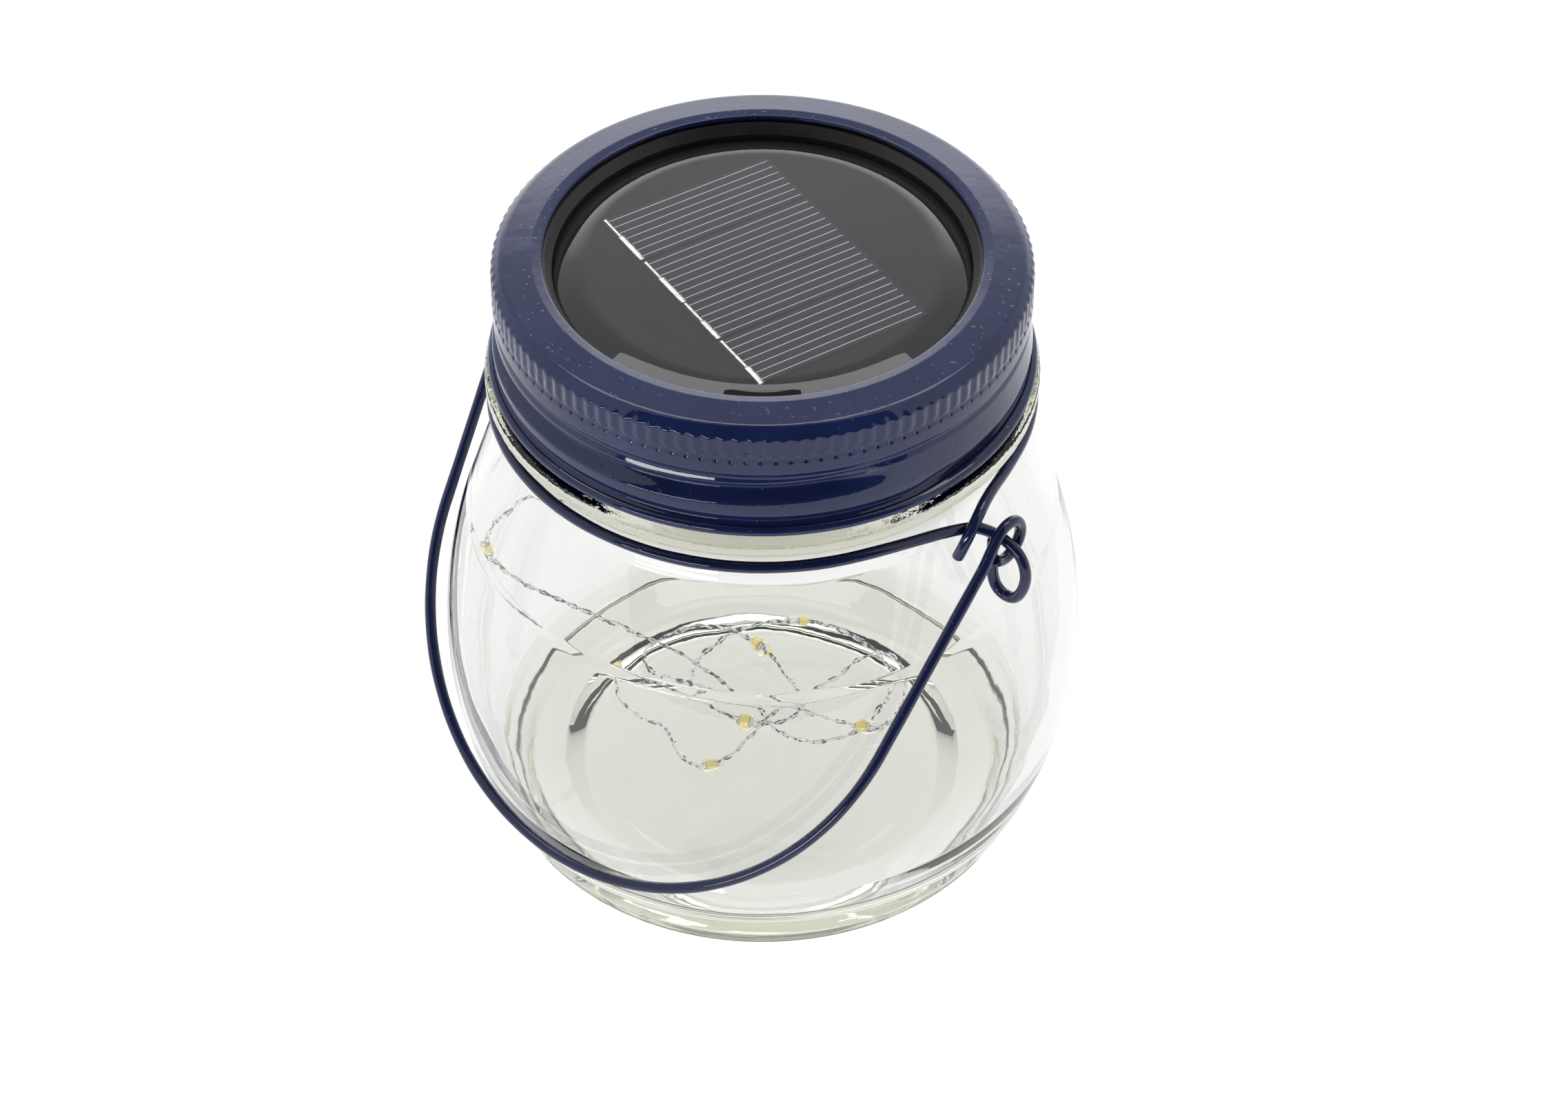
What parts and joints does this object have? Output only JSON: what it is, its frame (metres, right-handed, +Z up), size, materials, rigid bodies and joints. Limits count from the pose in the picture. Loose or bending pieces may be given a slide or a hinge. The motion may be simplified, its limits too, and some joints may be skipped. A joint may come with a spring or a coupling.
{
  "type": "mason jar lantern",
  "caption": "Glass mason jar with a wire bail, a screw-on solar lid and a string of fairy lights inside.",
  "frame": {"origin": "on the jar's axis, in the plane that the jar stands on", "axes": "+Z up along the jar's axis, +X along the bail's hinge axis, and -Y towards the bail as it rests against the jar"},
  "size_m": [0.0912, 0.0883, 0.096],
  "materials": {
    "glass": "clear pressed glass, slightly wavy, green at thick edges",
    "wire_paint": "navy painted steel wire, satin",
    "band_paint": "navy painted tinplate, semi-gloss",
    "gasket": "pale sealing compound",
    "black_plastic": "moulded, fine texture",
    "backing": "glass-fibre board, black",
    "cell": "silicon, blue-purple grey sheen",
    "silver_print": "printed and tinned",
    "epoxy": "clear cast resin",
    "steel": "zinc plated",
    "battery_wrap": "plain green film sleeve",
    "board": "green solder mask",
    "ferrite": "ferrite",
    "lead_insulation": "red lead insulation",
    "white_plastic": "moulded",
    "string_wire": "enamelled silver wire",
    "drop_resin": "clear resin",
    "light_chip": "yellow phosphor"
  },
  "bodies": {
    "jar": {"glass_jar": "glass", "neck_wire_front": "wire_paint", "neck_wire_back": "wire_paint"},
    "bail": {"bail_handle": "wire_paint"},
    "lid": {"rim_gasket": "gasket", "panel_tray": "black_plastic", "panel_backing": "backing", "solar_cells": "cell", "cell_busbars": "silver_print", "cell_fingers": "silver_print", "epoxy_cover": "epoxy", "bottom_cover": "black_plastic", "cover_screws": "steel", "battery_cradle": "black_plastic", "battery": "battery_wrap", "battery_contacts": "steel", "circuit_board": "board", "driver_chip": "black_plastic", "inductor": "ferrite", "panel_leads": "lead_insulation", "switch_body": "steel", "string_grommet": "black_plastic", "light_string": "string_wire", "light_drops": "drop_resin", "light_chips": "light_chip"},
    "band": {"screw_band": "band_paint"},
    "switch": {"switch_slider": "white_plastic"},
    "door": {"battery_door": "black_plastic", "door_screw": "steel"}
  },
  "joints": [
    {"name": "bail_swing", "type": "hinge", "parent": "jar", "child": "bail", "pos_m": [0, 0, 0.069], "axis": [-1, 0, 0], "range_deg": [0, 276]},
    {"name": "lid_lift", "type": "slide", "parent": "jar", "child": "lid", "axis": [0, 0, 1], "range_m": [0, 0.12], "deforming": ["light_string", "light_drops", "light_chips"]},
    {"name": "band_twist", "type": "hinge", "parent": "lid", "child": "band", "pos_m": [0, 0, 0.0872], "axis": [0, 0, 1], "range_deg": [0, 450]},
    {"name": "switch_slide", "type": "slide", "parent": "lid", "child": "switch", "axis": [-0.6428, 0.766, 0], "range_m": [0, 0.002]},
    {"name": "battery_door", "type": "slide", "parent": "lid", "child": "door", "axis": [0, 0, -1], "range_m": [0, 0.025]}
  ]
}
